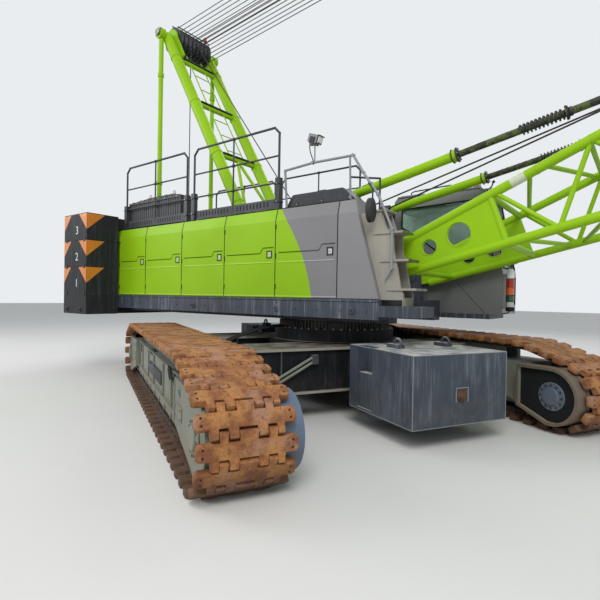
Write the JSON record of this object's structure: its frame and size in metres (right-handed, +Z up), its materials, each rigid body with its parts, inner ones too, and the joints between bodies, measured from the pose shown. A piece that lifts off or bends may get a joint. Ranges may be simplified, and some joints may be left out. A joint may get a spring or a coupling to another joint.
{
  "type": "crawler crane",
  "caption": "Lattice-boom crane on two tracks, with slewing upper works, cab, houses with doors, gantry, counterweight, luffing boom and hook block.",
  "frame": {"origin": "on the ground, on the slewing axis", "axes": "+X forward along the boom and the upper works, +Y to the left, +Z up; the undercarriage stands turned 27.4 degrees to the right under it"},
  "size_m": [29.4269, 9.1632, 9.9235],
  "materials": {
    "green_paint": "satin two-coat lime paint",
    "grey_paint": "satin grey paint",
    "dark_paint": "weathered blue-black paint with streaks",
    "rail_paint": "satin dark paint",
    "beige_paint": "dusty pale paint",
    "cab_paint": "satin grey paint",
    "rusty_steel": "bare cast steel with orange rust",
    "greasy_steel": "greased rod",
    "black_steel": "black",
    "bare_steel": "worn",
    "iron_weight": "painted cast weight with orange corner triangles",
    "glass": "green tint",
    "seat_fabric": "black upholstery",
    "lamp_lens": "red, orange and green lenses",
    "yellow_paint": "satin yellow paint"
  },
  "bodies": {
    "undercarriage": {"carbody": "dark_paint", "slew_ring": "black_steel", "side_frame_right": "grey_paint", "side_frame_left": "grey_paint", "track_right": "rusty_steel", "track_left": "rusty_steel", "tumblers_right": "black_steel", "tumblers_left": "black_steel", "rollers_right": "black_steel", "rollers_left": "black_steel", "carbody_weight_front": "dark_paint", "carbody_weight_rear": "dark_paint"},
    "upper": {"revolving_frame": "dark_paint", "slew_race": "bare_steel", "side_deck_right": "dark_paint", "side_deck_left": "dark_paint", "house_right": "green_paint", "house_left": "green_paint", "front_panel": "grey_paint", "engine_block": "dark_paint", "roof_cover": "rail_paint", "air_outlet": "rail_paint", "roof_rails": "rail_paint", "roof_walkway": "rail_paint", "front_steps": "beige_paint", "front_rail": "grey_paint", "rear_mirror": "rail_paint", "work_lamp": "grey_paint", "counterweight_tray": "iron_weight", "counterweight_layer_1": "iron_weight", "counterweight_layer_2": "iron_weight", "counterweight_layer_3": "iron_weight", "cab_shell": "cab_paint", "cab_glass": "glass", "cab_seat": "seat_fabric", "stack_light": "lamp_lens", "gantry": "green_paint", "gantry_stays": "green_paint"},
    "door_1": {"door_1": "green_paint"},
    "door_2": {"door_2": "green_paint"},
    "door_3": {"door_3": "green_paint"},
    "door_4": {"door_4": "green_paint"},
    "door_5": {"door_5": "green_paint"},
    "cab_door": {"cab_door": "cab_paint"},
    "winch_front": {"winch_front": "black_steel"},
    "winch_middle": {"winch_middle": "black_steel"},
    "winch_rear": {"winch_rear": "black_steel"},
    "gantry_sheaves": {"gantry_sheaves": "black_steel"},
    "boom": {"boom_butt": "green_paint", "boom_insert": "green_paint", "boom_top": "green_paint", "pendants": "black_steel"},
    "head_sheaves": {"head_sheaves": "black_steel"},
    "hook_block": {"hook_block": "yellow_paint"},
    "backstop_tubes": {"backstop_tubes": "green_paint"},
    "backstop_rods": {"backstop_rods": "greasy_steel", "backstop_springs": "black_steel"}
  },
  "joints": [
    {"name": "slew", "type": "hinge", "parent": "undercarriage", "child": "upper", "pos_m": [0, 0, 1.33], "axis": [0, 0, 1], "continuous": true},
    {"name": "boom_luff", "type": "hinge", "parent": "upper", "child": "boom", "pos_m": [1.25, 0, 2.3], "axis": [0, -1, 0], "range_deg": [-19.4, 60.6]},
    {"name": "head_sheaves_spin", "type": "hinge", "parent": "boom", "child": "head_sheaves", "pos_m": [22.16698, 0, 9.13593], "axis": [0, 1, 0], "continuous": true},
    {"name": "hook_swing", "type": "hinge", "parent": "boom", "child": "hook_block", "pos_m": [22.16698, 0, 9.13593], "axis": [0, -1, 0], "range_deg": [-61.6, 20.4]},
    {"name": "backstop_tilt", "type": "hinge", "parent": "upper", "child": "backstop_tubes", "pos_m": [0.75, 0, 3.63], "axis": [0, -1, 0], "range_deg": [-22.62, 69.58]},
    {"name": "backstop_stroke", "type": "slide", "parent": "backstop_tubes", "child": "backstop_rods", "axis": [0.9781, 0, 0.2079], "range_m": [-1.1473, 0.3707], "deforming": ["backstop_springs"]},
    {"name": "winch_front_spin", "type": "hinge", "parent": "upper", "child": "winch_front", "pos_m": [-0.05, 0, 2.37], "axis": [0, 1, 0], "continuous": true},
    {"name": "winch_middle_spin", "type": "hinge", "parent": "upper", "child": "winch_middle", "pos_m": [-1.5, 0, 2.37], "axis": [0, 1, 0], "continuous": true},
    {"name": "winch_rear_spin", "type": "hinge", "parent": "upper", "child": "winch_rear", "pos_m": [-2.95, 0, 2.37], "axis": [0, 1, 0], "continuous": true},
    {"name": "gantry_sheaves_spin", "type": "hinge", "parent": "upper", "child": "gantry_sheaves", "pos_m": [-4.58, 0, 8.2], "axis": [0, 1, 0], "continuous": true},
    {"name": "cab_door_slide", "type": "slide", "parent": "upper", "child": "cab_door", "axis": [-1, 0, 0], "range_m": [0, 0.85]},
    {"name": "door_1_hinge", "type": "hinge", "parent": "upper", "child": "door_1", "pos_m": [-5.121, -1.5, 2.6], "axis": [0, 0, -1], "range_deg": [0, 90]},
    {"name": "door_2_hinge", "type": "hinge", "parent": "upper", "child": "door_2", "pos_m": [-4.067, -1.5, 2.6], "axis": [0, 0, -1], "range_deg": [0, 90]},
    {"name": "door_3_hinge", "type": "hinge", "parent": "upper", "child": "door_3", "pos_m": [-2.792, -1.5, 2.6], "axis": [0, 0, -1], "range_deg": [0, 90]},
    {"name": "door_4_hinge", "type": "hinge", "parent": "upper", "child": "door_4", "pos_m": [-1.517, -1.5, 2.6], "axis": [0, 0, -1], "range_deg": [0, 90]},
    {"name": "door_5_hinge", "type": "hinge", "parent": "upper", "child": "door_5", "pos_m": [-0.242, -1.5, 2.6], "axis": [0, 0, -1], "range_deg": [0, 90]}
  ],
  "couplings": [
    {"joint": "hook_swing", "follows": "boom_luff", "ratio": -1},
    {"joint": "backstop_tilt", "follows": "boom_luff", "ratio": 1.14},
    {"joint": "backstop_stroke", "follows": "boom_luff", "m_per_rad": -1.08}
  ]
}
